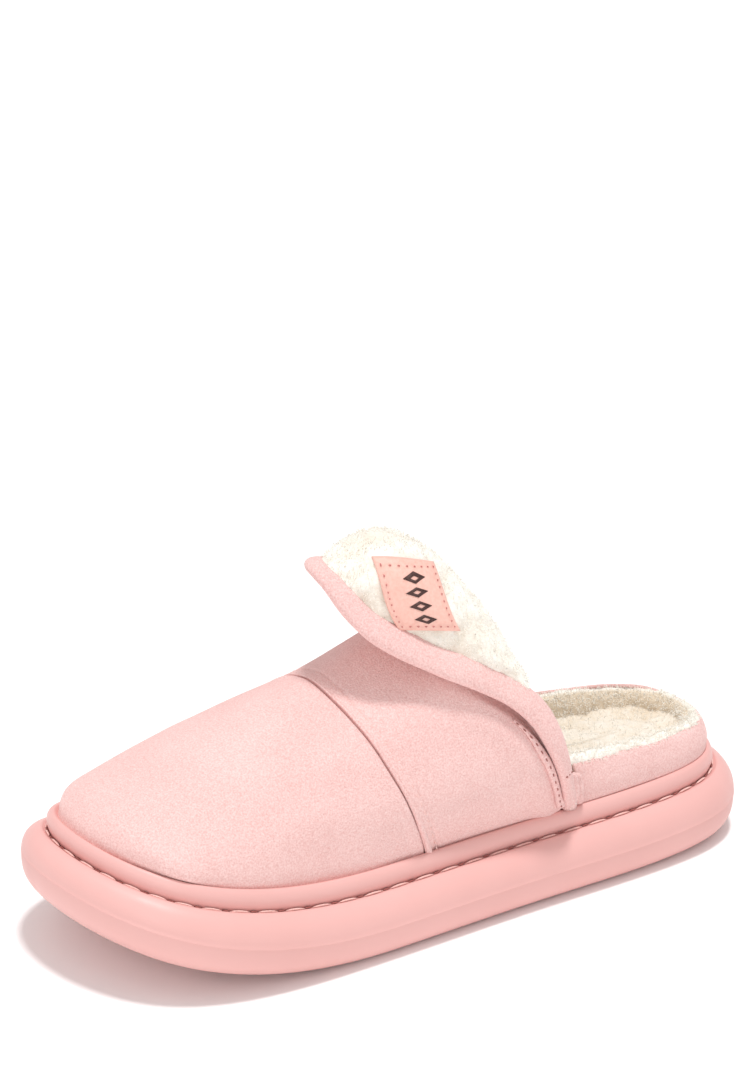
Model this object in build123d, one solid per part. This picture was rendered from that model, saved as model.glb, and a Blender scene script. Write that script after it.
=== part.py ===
from build123d import *
import math
import os

# Fluffy house slipper, left foot. Millimetres, +Z up, toe towards -Y, heel towards +Y,
# lateral (outer) side towards +X. The origin is on the floor under the middle of the sole.

# ---- driving dimensions -------------------------------------------------------------
SOLE_OUTLINE = [  # widest contour of the sole, from the toe tip round the lateral side
    (-10.6, -135), (43.2, -115), (52.6, -44), (45.0, 30), (39, 93), (26.5, 124),
    (0, 135), (-26.5, 124), (-39, 93), (-43.6, 30), (-52.2, -50), (-42.4, -115),
]
SOLE_HALF_LENGTH = 135.0
TOE_SPRING = 20.0         # lift of the toe tip
TOE_SPRING_START = -30.0  # the sole is flat from here back
HEEL_SPRING = 2.2
HEEL_SPRING_START = 60.0
SOLE_HEIGHT = 22.5
SOLE_EDGE_RADIUS = 10.0
PLATFORM_FLOOR = 17.0     # floor of the pocket in the sole
PLATFORM_TOP = 25.4
BOARD_THICKNESS = 1.5
UPPER_FOOT = 27.2         # lower edge of the upper, tucked inside the welt strip
WELT_TOP = 29.0
WELT_INSET = 8.9
WELT_WALL = 2.0
UPPER_INSET = 11.2        # outer face of the upper, inward from the sole's contour
GAP = 0.2                 # clearance between neighbouring layers

SUEDE = 1.2
PADDING = 2.0
PILE = 5.0
COUNTER = 1.5
PANEL_IN = SUEDE
PADDING_OUT = PANEL_IN + GAP
PADDING_IN = PADDING_OUT + PADDING
LINING_OUT = PADDING_IN + GAP
LINING_IN = LINING_OUT + PILE

HALF_GIRTH = 40.0         # widest half-width of the upper over the instep
HINGE_Y = 17.0
HINGE_Z = 105.0
HINGE_RADIUS = 9.0
FLAP_HALF_WIDTH = 26.0
FLAP_PILE = 6.5

HEEL_PANEL_FRONT = 54.5
HEEL_PANEL_BACK = 124.0
COLLAR_TOP_FRONT = 44.0
COLLAR_TOP_BACK = 40.5
COLLAR_ROLL = 4.0         # how far the pile stands above the heel panel
COLLAR_OVERHANG = 0.6     # how far the pile stands out over the heel panel
COUNTER_MARGIN = 3.0      # the counter stops this far below the collar

POCKET_INSET = 14.0
WELT_TOP_RADIUS = 1.7
FOOTBED_INSET = 21.0
FOOTBED_FRONT = -91.0
FOAM_TOP = 30.2
FOOTBED_TOP = 34.4
TREAD_ROWS = [            # front edge of every channel across the underside
    -90, -78, -66, -54, -42, -30, -18, 58, 70, 82, 94,
]
TREAD_DEPTH = 2.0
TREAD_GROOVE = 3.0

PIPING_HEIGHT = 1.8
PIPING_LIFT = 0.1
BAND_THICKNESS = 4.0
TAB_FRONT = 49.6
TAB_TOP = 46.0
TAB_THICKNESS = 2.0
HEM_HEIGHT = 3.0
HEM_ROOM = 0.4            # clearance between the hem and the flap's suede inside it
LABEL_X = (5.0, 21.0)
LABEL_Y = (-16.0, 7.0)
LABEL_THICKNESS = 1.0
LABEL_MARGIN = 1.5        # stitches to the label's edge
LABEL_STITCH = (1.6, 0.8)
LABEL_RELIEF = 0.5        # height of the stitches and the motif on the label
DIAMOND_ROW = (8.2, 11.4, 14.6, 17.8)
DIAMOND_OUTER = (1.2, 4.0)
DIAMOND_INNER = (0.5, 1.6)

SOLE_STITCH_RADIUS = 0.55
SOLE_STITCH_PITCH = 10.0
SOLE_STITCH_LENGTH = 6.0
SEAM_STITCH_RADIUS = 0.45
SEAM_STITCH_LENGTH = 2.4
SEAM_STITCH_PITCH = 3.6
STITCH_LIFT = 0.1         # clearance below a stitch
HEM_STITCH_LIFT = 1.3     # the same over the curved hem

REACH = 150.0             # past every face of the slipper
COLUMN_BOTTOM = -20.0
COLUMN_HEIGHT = 140.0
TOE_CURVE_Y = (-145.0, -116.0, -87.0, -58.5, TOE_SPRING_START)
HEEL_CURVE_Y = (HEEL_SPRING_START, 100.0, 145.0)
SLAB_SIDE = -90.0


# ---- sole contour and floor curve ---------------------------------------------------
def spring(y):
    """Height that the toe and heel spring add at y."""
    toe = max(0.0, TOE_SPRING_START - y) / (SOLE_HALF_LENGTH + TOE_SPRING_START)
    heel = max(0.0, y - HEEL_SPRING_START) / (SOLE_HALF_LENGTH - HEEL_SPRING_START)
    return TOE_SPRING * toe**2 + HEEL_SPRING * heel**2


def centripetal(points):
    """Spline parameters that follow the square root of the chord lengths."""
    marks = [0.0]
    for a, b in zip(points, points[1:] + points[:1]):
        marks.append(marks[-1] + math.sqrt((Vector(*b) - Vector(*a)).length))
    return [mark / marks[-1] for mark in marks]


SOLE_EDGE = Edge.make_spline(SOLE_OUTLINE, periodic=True, parameters=centripetal(SOLE_OUTLINE))


def contour_points(inset, count=28):
    """Points of the sole contour moved inward by inset."""
    points = []
    for k in range(count):
        tangent = SOLE_EDGE.tangent_at(k / count)
        outward = Vector(tangent.Y, -tangent.X)
        points.append(SOLE_EDGE.position_at(k / count) - outward * inset)
    return points


def contour_edge(inset):
    return Edge.make_spline(contour_points(inset), periodic=True)


def half_width(y, inset):
    """Mean half-width of the inset contour at y, with the middle's x."""
    ray = Edge.make_line((-REACH, y), (REACH, y))
    xs = sorted(v.X for v in ray.intersect(contour_edge(inset)).vertices())
    return (xs[-1] - xs[0]) / 2, (xs[-1] + xs[0]) / 2


def column(inset):
    """Tall prism on the inset contour."""
    face = Face(Wire([contour_edge(inset)]))
    return Solid.extrude(face.moved(Location((0, 0, COLUMN_BOTTOM))), Vector(0, 0, COLUMN_HEIGHT))


def floor_curve(height):
    """Side view of one level: sprung toe, flat waist, sprung heel."""
    toe = [(SLAB_SIDE, y, height + spring(y)) for y in TOE_CURVE_Y]
    heel = [(SLAB_SIDE, y, height + spring(y)) for y in HEEL_CURVE_Y]
    level = Vector(0, 1, 0)
    return [
        Edge.make_spline(toe, tangents=[Vector(0, 1, slope_at(TOE_CURVE_Y[0])), level]),
        Edge.make_line(toe[-1], heel[0]),
        Edge.make_spline(heel, tangents=[level, Vector(0, 1, slope_at(HEEL_CURVE_Y[-1]))]),
    ]


def slope_at(y):
    return spring(y + 0.5) - spring(y - 0.5)


def slab(low, high):
    """Everything between two heights above the sprung floor."""
    under, over = floor_curve(low), floor_curve(high)
    front = Edge.make_line(under[0] @ 0, over[0] @ 0)
    back = Edge.make_line(under[-1] @ 1, over[-1] @ 1)
    return Solid.extrude(Face(Wire([*under, back, *over, front])), Vector(-2 * SLAB_SIDE, 0, 0))


def ring(low, high, outer, inner):
    """Wall of constant thickness that follows the contour."""
    return (column(outer) & slab(low, high)) - column(inner)


def block(x0, x1, y0, y1, z0, z1):
    return Solid.make_box(x1 - x0, y1 - y0, z1 - z0).moved(Location((x0, y0, z0)))


# ---- arched sections ----------------------------------------------------------------
# A station is one leaning plane across the upper: y of its foot on both sides, then y, z of
# its crown on the centreline, then how much it takes the instep's arch (0 round, 1 arched).
TOE_STATIONS = [
    (-104.0, -123.7, 43.2, 0.0), (-101.0, -118.5, 51.5, 0.0), (-95.0, -108.0, 57.5, 0.1),
    (-84.0, -97.0, 62.0, 0.25), (-66.0, -82.0, 68.0, 0.5), (-48.0, -67.0, 73.0, 0.75),
    (-30.0, -52.0, 77.5, 0.9), (-12.7, -36.5, 81.0, 1.0),
]
INSTEP_STATIONS = [
    (-12.3, -36.1, 81.1, 1.0), (8.0, -17.5, 88.0, 1.0), (29.0, 1.0, 95.5, 1.0),
    (49.0, 17.0, 100.5, 1.0),
]
PIPING_STATIONS = [(-11.6, -35.4, 81.4, 1.0), (-8.8, -32.6, 82.4, 1.0)]
SEAM_STITCH_STATION = (-6.0, -30.0, 83.3, 1.0)
BAND_STATIONS = [(36.0, 6.6, 97.3, 1.0), (48.6, 16.7, 100.4, 1.0)]
# Half of the arch over the instep: share of the half-girth, share of the height.
ARCH = [(0.0, 0.0), (0.6, 0.12), (1.0, 0.27), (0.98, 0.43), (0.88, 0.60), (0.74, 0.76),
        (0.51, 0.885), (0.24, 0.965)]
ROUNDNESS = 2.3


def arch_half(width, arched):
    """Half an arch from the foot up, as (x, share of height)."""
    girth = width + (HALF_GIRTH - width) * arched
    half = []
    for k, (share, height) in enumerate(ARCH):
        angle = math.pi / 2 * k / len(ARCH)
        round_x = width * math.cos(angle) ** (2 / ROUNDNESS)
        round_height = math.sin(angle) ** (2 / ROUNDNESS)
        arch_x = width + (girth - width) * share if k < 2 else girth * share
        half.append((round_x + (arch_x - round_x) * arched,
                     round_height + (height - round_height) * arched))
    return half


def offset_curve(points, distance):
    """Move an open run of plane points to its left-hand side; both ends move along x only."""
    moved = []
    for k, (x, v) in enumerate(points):
        ahead = points[min(k + 1, len(points) - 1)]
        behind = points[max(k - 1, 0)]
        length = math.hypot(ahead[0] - behind[0], ahead[1] - behind[1])
        normal = ((behind[1] - ahead[1]) / length, (ahead[0] - behind[0]) / length)
        if k == 0:
            normal = (-1.0, 0.0)
        if k == len(points) - 1:
            normal = (1.0, 0.0)
        moved.append((x + normal[0] * distance, v + normal[1] * distance))
    return moved


def front_section(station, depth):
    """The lowest section: it lies flat and follows the contour round the toe."""
    foot_y, top_y, top_z, _ = station
    foot_z = UPPER_FOOT + spring(foot_y)
    slope = (top_z - foot_z) / (top_y - foot_y)
    edge = contour_edge(UPPER_INSET + depth)
    marks = [k / 400 for k in range(-100, 101)]
    inside = [u for u in marks if edge.position_at(u % 1).Y < foot_y]
    first, last = inside[-1], inside[0]
    steps = 16
    points = []
    for k in range(steps + 1):
        p = edge.position_at((first + (last - first) * k / steps) % 1)
        points.append(Vector(p.X, p.Y, foot_z + slope * (p.Y - foot_y)))
    return points


def upper_section(station, depth):
    """Points of one arch, lateral foot to medial foot, depth below the upper's outer face."""
    foot_y, top_y, top_z, arched = station
    if station == TOE_STATIONS[0]:
        return front_section(station, depth)
    width, middle = half_width(foot_y, UPPER_INSET)
    foot = Vector(middle, foot_y, UPPER_FOOT + spring(foot_y))
    rise = Vector(middle, top_y, top_z) - foot
    height = rise.length
    half = [(x, share * height) for x, share in arch_half(width, arched)]
    run = half + [(0.0, height)] + [(-x, v) for x, v in reversed(half)]
    along = rise.normalized()
    return [foot + Vector(x, 0, 0) + along * v for x, v in offset_curve(run, depth)]


def closed_section(outer, inner):
    """Thin crescent between two runs of points."""
    return Wire([
        Edge.make_spline(outer), Edge.make_line(outer[-1], inner[-1]),
        Edge.make_spline(inner[::-1]), Edge.make_line(inner[0], outer[0]),
    ])


def upper_layer(stations, outer, inner):
    """One layer of the upper, from depth outer to depth inner, through its stations."""
    return Solid.make_loft([
        closed_section(upper_section(s, outer), upper_section(s, inner)) for s in stations
    ])


# The flap's own stations: y, z of the middle of its underside, lean, share of the full droop.
FLAP_STATIONS = [
    (13.0, 104.0, 0.44, 0.50), (0.0, 111.0, 0.55, 0.68), (-17.0, 115.5, 0.75, 0.86),
    (-36.0, 116.5, 0.93, 1.0),
]
FLAP_BAND_STATION = (-25.5, 116.2, 0.84, 0.92)
FLAP_PILE_STATION = (-25.1, 116.2, 0.84, 0.92)
FLAP_TIP_STATION = (-37.4, 116.5, 0.945, 1.0)
FLAP_HEM_STATION = (-27.5, 116.3, 0.86, 0.93)
# Droop of the flap below its crown, lateral to medial.
FLAP_ARCH = [(26, 31), (22, 25), (17, 18), (12, 11.5), (7, 5.5), (2, 1.2), (-3, 0),
             (-9, 1.5), (-16, 5.5), (-22, 11), (-26, 16)]


def flap_section(station, height):
    """Points across the flap, height above the flap's underside."""
    middle_y, middle_z, lean, droop = station
    along = Vector(0, -lean, 1).normalized()
    run = offset_curve([(x, -drop * droop) for x, drop in FLAP_ARCH], -height)
    run[0] = (FLAP_ARCH[0][0], run[0][1] + 0.6 * height)
    run[-1] = (FLAP_ARCH[-1][0], run[-1][1] + 0.8 * height)
    return [Vector(x, middle_y, middle_z) + along * v for x, v in run]


def flap_layer(stations, low, high):
    return Solid.make_loft([
        closed_section(flap_section(s, high), flap_section(s, low)) for s in stations
    ])


def stitch_row(edge, length, pitch, radius):
    """Straight thread stitches laid along an edge."""
    count = int(edge.length // pitch)
    row = []
    for k in range(count):
        mark = (k + 0.5) / count
        along = edge.tangent_at(mark)
        start = edge.position_at(mark) - along * (length / 2)
        row.append(Solid.make_cylinder(radius, length, Plane(start, z_dir=along)))
    return row


# ---- bottom unit --------------------------------------------------------------------
def rim_edges(body, height, inset):
    """Edges that run round the contour at one height above the sprung floor."""
    near = 0.5
    rim = contour_edge(inset)
    found = []
    for edge in body.edges():
        p = edge.position_at(0.37)
        level = abs(p.Z - spring(p.Y) - height) < near
        if level and rim.distance_to(Vector(p.X, p.Y, 0)) < near:
            found.append(edge)
    return found


def tread_groove(y):
    """Straight channel across the underside, short of the sole's edges."""
    reach = half_width(y, POCKET_INSET)[0]
    floor = spring(y)
    return block(-reach, reach, y, y + TREAD_GROOVE, floor - TREAD_GROOVE, floor + TREAD_DEPTH)


def make_outsole():
    body = (column(0) & slab(0, SOLE_HEIGHT)).solids()[0]
    body -= column(POCKET_INSET) & slab(PLATFORM_FLOOR, WELT_TOP)
    body = body.fillet(SOLE_EDGE_RADIUS, rim_edges(body, SOLE_HEIGHT, 0))
    body = body.fillet(SOLE_EDGE_RADIUS, rim_edges(body, 0, 0))
    return body - [tread_groove(y) for y in TREAD_ROWS]


def make_platform():
    lower = column(POCKET_INSET + GAP) & slab(PLATFORM_FLOOR + GAP, PLATFORM_TOP)
    upper = column(WELT_INSET + WELT_WALL + GAP) & slab(SOLE_HEIGHT + GAP, PLATFORM_TOP)
    return lower + upper


def make_welt_strip():
    strip = ring(SOLE_HEIGHT + GAP, WELT_TOP, WELT_INSET, WELT_INSET + WELT_WALL).solids()[0]
    return strip.fillet(WELT_TOP_RADIUS, rim_edges(strip, WELT_TOP, WELT_INSET))


def make_sole_stitching():
    """Long stitches in the groove between the sole and the welt strip."""
    height = SOLE_HEIGHT + SOLE_STITCH_RADIUS + STITCH_LIFT
    path = contour_points(WELT_INSET - SOLE_STITCH_RADIUS - 2 * GAP, 96)
    edge = Edge.make_spline([(p.X, p.Y, height + spring(p.Y)) for p in path], periodic=True)
    return stitch_row(edge, SOLE_STITCH_LENGTH, SOLE_STITCH_PITCH, SOLE_STITCH_RADIUS)


def make_insole_board():
    low = PLATFORM_TOP + GAP
    return column(WELT_INSET + WELT_WALL + GAP) & slab(low, low + BOARD_THICKNESS)


def footbed_layer(low, high):
    """Part of the footbed, which stops short of the lining round the toes."""
    behind = block(-REACH, REACH, FOOTBED_FRONT, REACH, 0, REACH)
    return column(FOOTBED_INSET) & slab(low, high) & behind


def make_footbed_foam():
    return footbed_layer(UPPER_FOOT + GAP, FOAM_TOP)


def make_footbed_cover():
    return footbed_layer(FOAM_TOP + GAP, FOOTBED_TOP)


# ---- upper --------------------------------------------------------------------------
def hinge_space(half_length):
    """Cylinder round the flap's fold, kept free of everything that the sole carries."""
    start = Plane((-half_length, HINGE_Y, HINGE_Z), z_dir=(1, 0, 0))
    return Solid.make_cylinder(HINGE_RADIUS, 2 * half_length, start)


def throat_layer(outer, inner):
    """One layer of the instep, with room for the fold of the flap."""
    layer = upper_layer(INSTEP_STATIONS, outer, inner)
    return layer - hinge_space(FLAP_HALF_WIDTH + 3 * GAP)


def heel_wall(low, high_front, high_back, outer, inner, front):
    """Wall round the heel whose top slopes down to the back."""
    wall = ring(low, 2 * high_front, outer, inner)
    wall &= block(-REACH, REACH, front, REACH, 0, REACH)
    slope = (high_back - high_front) / (HEEL_PANEL_BACK - front)
    lid = Plane(
        origin=(0, front, high_front), x_dir=(1, 0, 0), z_dir=Vector(0, -slope, 1).normalized()
    )
    return wall - block(-REACH, REACH, -REACH, REACH, 0, REACH).moved(lid.location)


def make_heel_panel():
    return heel_wall(UPPER_FOOT, COLLAR_TOP_FRONT, COLLAR_TOP_BACK,
                     UPPER_INSET, UPPER_INSET + SUEDE, HEEL_PANEL_FRONT)


def make_heel_counter():
    outer = UPPER_INSET + PADDING_OUT
    return heel_wall(UPPER_FOOT, COLLAR_TOP_FRONT - COUNTER_MARGIN,
                     COLLAR_TOP_BACK - COUNTER_MARGIN, outer, outer + COUNTER,
                     HEEL_PANEL_FRONT + 2 * COUNTER_MARGIN)


def make_heel_lining():
    """Pile inside the heel that also rolls over the top of the heel panel."""
    top_front, top_back = COLLAR_TOP_FRONT + COLLAR_ROLL, COLLAR_TOP_BACK + COLLAR_ROLL
    outer, inner = UPPER_INSET + LINING_OUT, UPPER_INSET + LINING_IN
    wall = heel_wall(UPPER_FOOT, top_front, top_back, outer, inner, HEEL_PANEL_FRONT)
    roll = heel_wall(0, top_front, top_back, UPPER_INSET - COLLAR_OVERHANG,
                     outer + SUEDE, HEEL_PANEL_FRONT)
    roll -= heel_wall(0, COLLAR_TOP_FRONT + 2 * GAP, COLLAR_TOP_BACK + 2 * GAP,
                      UPPER_INSET - PILE, inner, HEEL_PANEL_FRONT - PILE)
    return wall + roll


def above_welt(layer):
    """The part of a layer that stands clear of the welt strip."""
    return layer & slab(WELT_TOP + GAP, REACH)


def make_cuff_band(side):
    """Side of the cuff below the flap, folded back on the instep and sewn down."""
    band = above_welt(upper_layer(BAND_STATIONS, -BAND_THICKNESS - GAP, -GAP))
    inner = FLAP_HALF_WIDTH + 3 * GAP
    if side > 0:
        return band & block(inner, REACH, -REACH, REACH, 0, REACH)
    return band & block(-REACH, -inner, -REACH, REACH, 0, REACH)


def make_side_tab(side):
    """Narrow strip that covers the joint between the cuff and the heel panel."""
    inner = UPPER_INSET - GAP
    tab = ring(WELT_TOP + GAP, TAB_TOP, inner - TAB_THICKNESS, inner)
    left, right = min(0, side * REACH), max(0, side * REACH)
    return tab & block(left, right, TAB_FRONT, HEEL_PANEL_FRONT - GAP, 0, REACH)


def make_seam_piping():
    """Narrow raised fold along the arched seam."""
    fold = upper_layer(PIPING_STATIONS, -PIPING_HEIGHT - PIPING_LIFT, -PIPING_LIFT)
    return above_welt(fold)


def make_seam_stitching():
    edge = Edge.make_spline(upper_section(SEAM_STITCH_STATION, -SEAM_STITCH_RADIUS - STITCH_LIFT))
    row = stitch_row(edge, SEAM_STITCH_LENGTH, SEAM_STITCH_PITCH, SEAM_STITCH_RADIUS)
    return [stitch for stitch in row if stitch.bounding_box().min.Z > WELT_TOP + GAP]


# ---- flap ---------------------------------------------------------------------------
def make_flap_binding():
    """Suede hem folded round the free edge, open to the back."""
    whole = flap_layer([FLAP_BAND_STATION, FLAP_TIP_STATION], -SUEDE - HEM_ROOM, HEM_HEIGHT)
    return whole - flap_layer(FLAP_STATIONS, -HEM_ROOM, SUEDE + HEM_ROOM)


def make_flap_binding_stitching():
    height = HEM_HEIGHT + SEAM_STITCH_RADIUS + HEM_STITCH_LIFT
    edge = Edge.make_spline(flap_section(FLAP_HEM_STATION, height))
    return stitch_row(edge, SEAM_STITCH_LENGTH, SEAM_STITCH_PITCH, SEAM_STITCH_RADIUS)


def label_layer(low, high):
    return flap_layer(FLAP_STATIONS[:3] + [FLAP_BAND_STATION], low, high)


def make_label_patch():
    low = SUEDE + GAP + FLAP_PILE + GAP
    return label_layer(low, low + LABEL_THICKNESS) & block(*LABEL_X, *LABEL_Y, 0, REACH)


def on_label(column_above):
    """Small raised piece on the label, inside a tall column."""
    low = SUEDE + GAP + FLAP_PILE + GAP + LABEL_THICKNESS + STITCH_LIFT
    return label_layer(low, low + LABEL_RELIEF) & column_above


def make_label_stitching():
    """Short dashes along all four sides of the label."""
    dashes = []
    x0, x1 = LABEL_X[0] + LABEL_MARGIN, LABEL_X[1] - LABEL_MARGIN
    y0, y1 = LABEL_Y[0] + LABEL_MARGIN, LABEL_Y[1] - LABEL_MARGIN
    half_length, half_thick = LABEL_STITCH[0] / 2, LABEL_STITCH[1] / 2
    down, across = 6, 5
    for k in range(down):
        y = y0 + (y1 - y0) * k / (down - 1)
        for x in (x0, x1):
            dashes.append(on_label(block(x - half_thick, x + half_thick,
                                         y - half_length, y + half_length, 0, REACH)))
    for k in range(1, across - 1):
        x = x0 + (x1 - x0) * k / (across - 1)
        for y in (y0, y1):
            dashes.append(on_label(block(x - half_length, x + half_length,
                                         y - half_thick, y + half_thick, 0, REACH)))
    return dashes


def diamond(x, size):
    """Tall column over a diamond centred on the label's width."""
    y = (LABEL_Y[0] + LABEL_Y[1]) / 2
    corners = [(x - size[0], y), (x, y - size[1]), (x + size[0], y), (x, y + size[1])]
    return Solid.extrude(Face(Wire.make_polygon(corners, close=True)), Vector(0, 0, REACH))


def make_label_motif():
    """Generic motif: a row of open diamonds."""
    return [on_label(diamond(x, DIAMOND_OUTER) - diamond(x, DIAMOND_INNER)) for x in DIAMOND_ROW]


# ---- write every sub-part -----------------------------------------------------------
def pieces():
    yield "outsole", make_outsole()
    yield "platform", make_platform()
    yield "welt_strip", make_welt_strip()
    yield "sole_stitching", make_sole_stitching()
    yield "insole_board", make_insole_board()
    yield "footbed_foam", make_footbed_foam()
    yield "footbed_cover", make_footbed_cover()
    yield "toe_panel", above_welt(upper_layer(TOE_STATIONS, 0, PANEL_IN))
    yield "toe_padding", upper_layer(TOE_STATIONS, PADDING_OUT, PADDING_IN)
    yield "toe_lining", upper_layer(TOE_STATIONS, LINING_OUT, LINING_IN)
    yield "instep_panel", above_welt(throat_layer(0, PANEL_IN))
    yield "instep_padding", throat_layer(PADDING_OUT, PADDING_IN)
    yield "instep_lining", throat_layer(LINING_OUT, LINING_IN)
    yield "heel_panel", make_heel_panel()
    yield "heel_counter", make_heel_counter()
    yield "heel_lining", make_heel_lining()
    yield "seam_piping", make_seam_piping()
    yield "seam_stitching", make_seam_stitching()
    for name, side in (("left", 1), ("right", -1)):
        yield "cuff_band_" + name, make_cuff_band(side)
        yield "side_tab_" + name, make_side_tab(side)
    yield "flap_shell", flap_layer(FLAP_STATIONS, 0, SUEDE)
    pile_stations = FLAP_STATIONS[:-1] + [FLAP_PILE_STATION]
    yield "flap_lining", flap_layer(pile_stations, SUEDE + GAP, SUEDE + GAP + FLAP_PILE)
    yield "flap_binding", make_flap_binding()
    yield "flap_binding_stitching", make_flap_binding_stitching()
    yield "label_patch", make_label_patch()
    yield "label_stitching", make_label_stitching()
    yield "label_motif", make_label_motif()


def solids_of(shape):
    if isinstance(shape, list):
        return [solid for item in shape for solid in item.solids()]
    return shape.solids()


os.makedirs("parts", exist_ok=True)
for name, shape in pieces():
    solids = solids_of(shape)
    whole = solids[0] if len(solids) == 1 else Compound(children=solids)
    whole.label = name
    export_step(whole, "parts/" + name + ".step")
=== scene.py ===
"""Fluffy house slipper, left foot: fabric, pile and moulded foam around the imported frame."""
import itertools
from math import cos, exp, isclose, pi, radians, sin, sqrt

import bmesh
import bpy
import numpy as np
from mathutils import Matrix, Vector


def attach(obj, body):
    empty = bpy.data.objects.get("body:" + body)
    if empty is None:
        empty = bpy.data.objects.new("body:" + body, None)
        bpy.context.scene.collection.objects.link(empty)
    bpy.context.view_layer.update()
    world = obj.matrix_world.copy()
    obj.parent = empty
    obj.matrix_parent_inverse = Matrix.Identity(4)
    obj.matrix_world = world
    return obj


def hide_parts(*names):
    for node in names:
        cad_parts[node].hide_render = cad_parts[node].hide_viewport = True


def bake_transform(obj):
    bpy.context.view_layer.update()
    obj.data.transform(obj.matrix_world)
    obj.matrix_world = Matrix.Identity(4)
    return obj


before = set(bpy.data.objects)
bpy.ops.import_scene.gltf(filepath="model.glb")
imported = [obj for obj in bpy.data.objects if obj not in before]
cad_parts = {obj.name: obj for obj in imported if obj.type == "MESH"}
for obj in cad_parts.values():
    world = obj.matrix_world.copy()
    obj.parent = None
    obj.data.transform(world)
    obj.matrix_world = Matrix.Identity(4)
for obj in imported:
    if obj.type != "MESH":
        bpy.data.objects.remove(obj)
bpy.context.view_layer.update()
MM = 0.001

# ---- sizes, in millimetres, in the frame's own axes ----
SOLE_OUTLINE = [  # widest contour of the sole, toe tip first, then round the lateral side
    (-10.6, -135), (43.2, -115), (52.6, -44), (45.0, 30), (39, 93), (26.5, 124),
    (0, 135), (-26.5, 124), (-39, 93), (-43.6, 30), (-52.2, -50), (-42.4, -115),
]
TOE_SPRING, TOE_SPRING_START = 20.0, -30.0
HEEL_SPRING, HEEL_SPRING_START = 2.2, 60.0
SOLE_HALF_LENGTH = 135.0
SOLE_HEIGHT = 22.5
UPPER_INSET, UPPER_FOOT = 11.2, 27.2
SUEDE, PADDING, PILE = 1.2, 2.0, 5.0
LINING_OUT = SUEDE + PADDING + 0.4
LINING_IN = LINING_OUT + PILE
FOOTBED_INSET, FOOTBED_TOP = 19.4, 34.4
HALF_GIRTH = 40.0
COLLAR_FRONT_Y, COLLAR_FRONT_Z = 54.5, 41.5
COLLAR_BACK_Y, COLLAR_BACK_Z = 124.0, 37.5
HEEL_PILE_FRONT_Y = 42.0
TREAD_GROOVES = (-90, -78, -66, -54, -42, -30, -18, 58, 70, 82, 94)  # y of each front wall
GROOVE_INSET, GROOVE_WIDTH, GROOVE_DEPTH = 14.0, 3.0, 2.0

# y of a section's foot, y and z of its crown, and how much of the instep's arch it has
STATIONS = [
    (-104.0, -123.7, 43.2, 0.0), (-101.0, -118.5, 51.5, 0.0), (-95.0, -108.0, 57.5, 0.1),
    (-84.0, -97.0, 62.0, 0.25), (-66.0, -82.0, 68.0, 0.5), (-48.0, -67.0, 73.0, 0.75),
    (-30.0, -52.0, 77.5, 0.9), (-12.5, -36.3, 81.0, 1.0), (8.0, -17.5, 88.0, 1.0),
    (29.0, 1.0, 95.5, 1.0), (49.0, 17.0, 100.5, 1.0),
]
SEAM_STATION = 7
ARCH = [(0.0, 0.0), (0.6, 0.12), (1.0, 0.27), (0.98, 0.43), (0.88, 0.60), (0.74, 0.76),
        (0.51, 0.885), (0.24, 0.965)]
ROUNDNESS = 2.3


# ---- curves ----
def norms(v):
    return np.linalg.norm(v, axis=-1)


def unit(v):
    return v / np.maximum(norms(v), 1e-9)[..., None]


def ease(x, low, high):
    """Smooth step from 0 at low to 1 at high."""
    t = np.clip((np.asarray(x, float) - low) / (high - low), 0, 1)
    return t * t * (3 - 2 * t)


def bell(x, width, middle=0.0):
    return np.exp(-((x - middle) / width) ** 2)


def spline(knots, values, at, periodic=False):
    """Cubic spline of any array through its knots, natural at the ends or periodic."""
    x, y, at = np.asarray(knots, float), np.asarray(values, float), np.asarray(at, float)
    n = len(x)
    flat = y.reshape(n, -1)
    h = np.diff(x)
    system, right = np.zeros((n, n)), np.zeros((n, flat.shape[1]))
    slope = np.diff(flat, axis=0) / h[:, None]
    for k in range(1, n - 1):
        system[k, k - 1:k + 2] = h[k - 1], 2 * (h[k - 1] + h[k]), h[k]
        right[k] = 6 * (slope[k] - slope[k - 1])
    if periodic:
        system[0, 0], system[0, -1] = 1, -1
        system[-1, 0], system[-1, 1] = 2 * h[0], h[0]
        system[-1, -2], system[-1, -1] = h[-1], 2 * h[-1]
        right[-1] = 6 * (slope[0] - slope[-1])
    else:
        system[0, 0] = system[-1, -1] = 1
    bend = np.linalg.solve(system, right)
    k = np.clip(np.searchsorted(x, at, side="right") - 1, 0, n - 2)
    step = h[k][:, None]
    a, b = (x[k + 1] - at)[:, None] / step, (at - x[k])[:, None] / step
    out = a * flat[k] + b * flat[k + 1]
    out += ((a**3 - a) * bend[k] + (b**3 - b) * bend[k + 1]) * step**2 / 6
    return out.reshape((len(at),) + y.shape[1:])


def arc_knots(points, power=1.0):
    """Running length of a row of points, from 0 to 1."""
    points = np.asarray(points, float)
    steps = norms(np.diff(points, axis=0)) ** power
    marks = np.concatenate([[0.0], np.cumsum(steps)])
    return marks / marks[-1]


def through(points, at, power=1.0):
    """Smooth curve through points, evaluated at shares of its length."""
    return spline(arc_knots(points, power), points, at)


def sampled(at, marks, values):
    """Rows of values that stand at rising marks, read off in between."""
    return np.stack([np.interp(at, marks, column) for column in np.asarray(values).T], -1)


def line_length(points):
    return norms(np.diff(points, axis=0)).sum()


def spring(y):
    toe = np.maximum(0.0, TOE_SPRING_START - y) / (SOLE_HALF_LENGTH + TOE_SPRING_START)
    heel = np.maximum(0.0, y - HEEL_SPRING_START) / (SOLE_HALF_LENGTH - HEEL_SPRING_START)
    return TOE_SPRING * toe**2 + HEEL_SPRING * heel**2


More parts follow.
